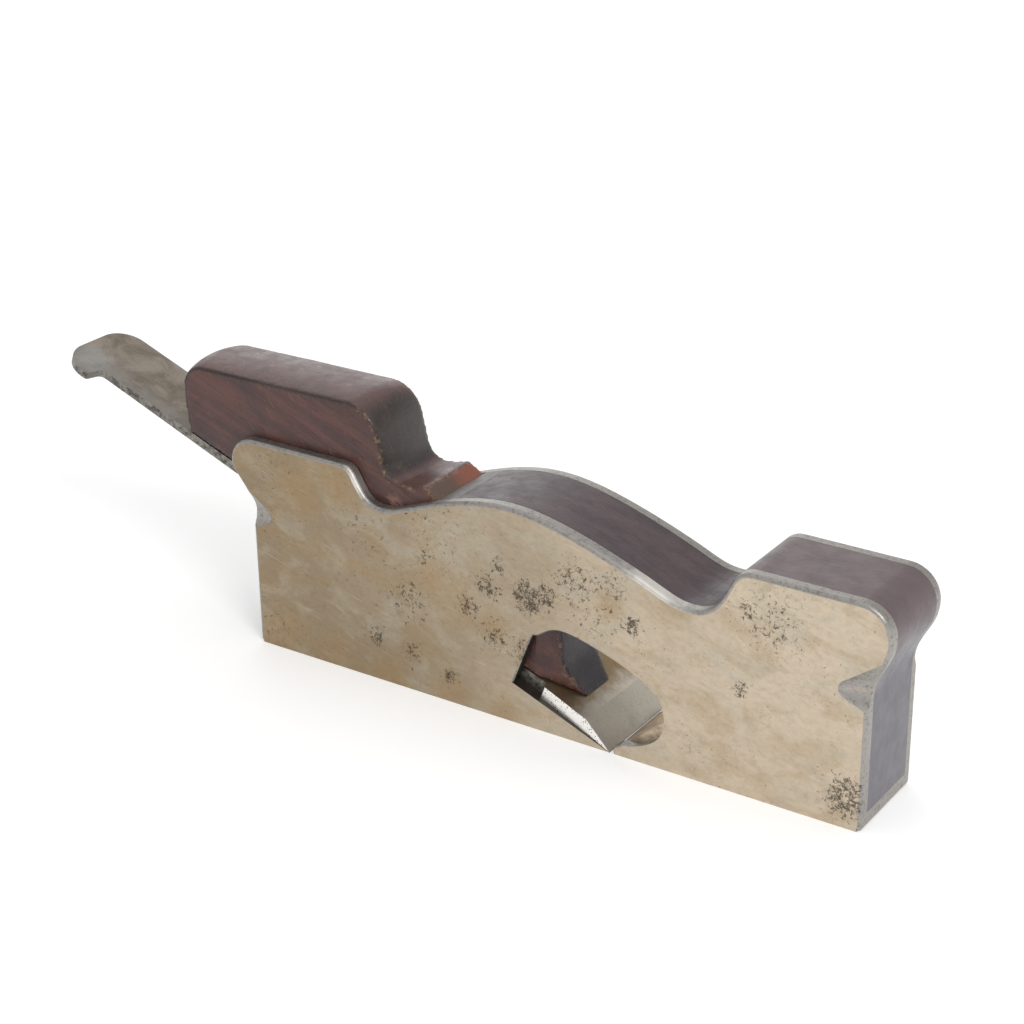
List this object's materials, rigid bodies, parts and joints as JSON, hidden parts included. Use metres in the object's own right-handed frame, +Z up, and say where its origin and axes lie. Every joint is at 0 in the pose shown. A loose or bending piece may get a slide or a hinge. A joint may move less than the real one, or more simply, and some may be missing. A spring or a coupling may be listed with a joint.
{
  "type": "shoulder plane",
  "caption": "Steel-bodied infill shoulder plane with a rosewood wedge, a low-bedded full-width T-shaped iron and a coved, humped side profile.",
  "frame": {"origin": "on the sole, midway along the sole and midway across the body", "axes": "+X from heel to toe along the sole, +Y to the plane's left side, +Z up from the sole"},
  "size_m": [0.2825, 0.0325, 0.0863],
  "materials": {
    "body_steel": "worn steel with a warm tan patina, fine scratches and dark pitting",
    "rivet_steel": "steel filed flush with the plates, with the same patina",
    "iron_steel": "grey-brown forged steel, bright on its ground edges",
    "infill_wood": "dark purple-brown rosewood, worn to a soft gloss",
    "wedge_wood": "red-brown rosewood, scratched and bruised, glossy on top"
  },
  "bodies": {
    "plane_body": {"right_side_plate": "body_steel", "left_side_plate": "body_steel", "heel_sole": "body_steel", "toe_sole": "body_steel", "heel_infill": "infill_wood", "toe_infill": "infill_wood", "bridge": "body_steel", "heel_rivets": "rivet_steel", "toe_rivets": "rivet_steel", "bridge_rivet": "rivet_steel"},
    "iron": {"cutting_iron": "iron_steel"},
    "wedge": {"wedge": "wedge_wood"}
  },
  "joints": [
    {"name": "iron_slide", "type": "slide", "parent": "plane_body", "child": "iron", "axis": [-0.9311, 0, 0.3649], "range_m": [-0.0003, 0.008]},
    {"name": "wedge_slide", "type": "slide", "parent": "plane_body", "child": "wedge", "axis": [-0.9344, 0, 0.3562], "range_m": [0, 0.132]}
  ]
}
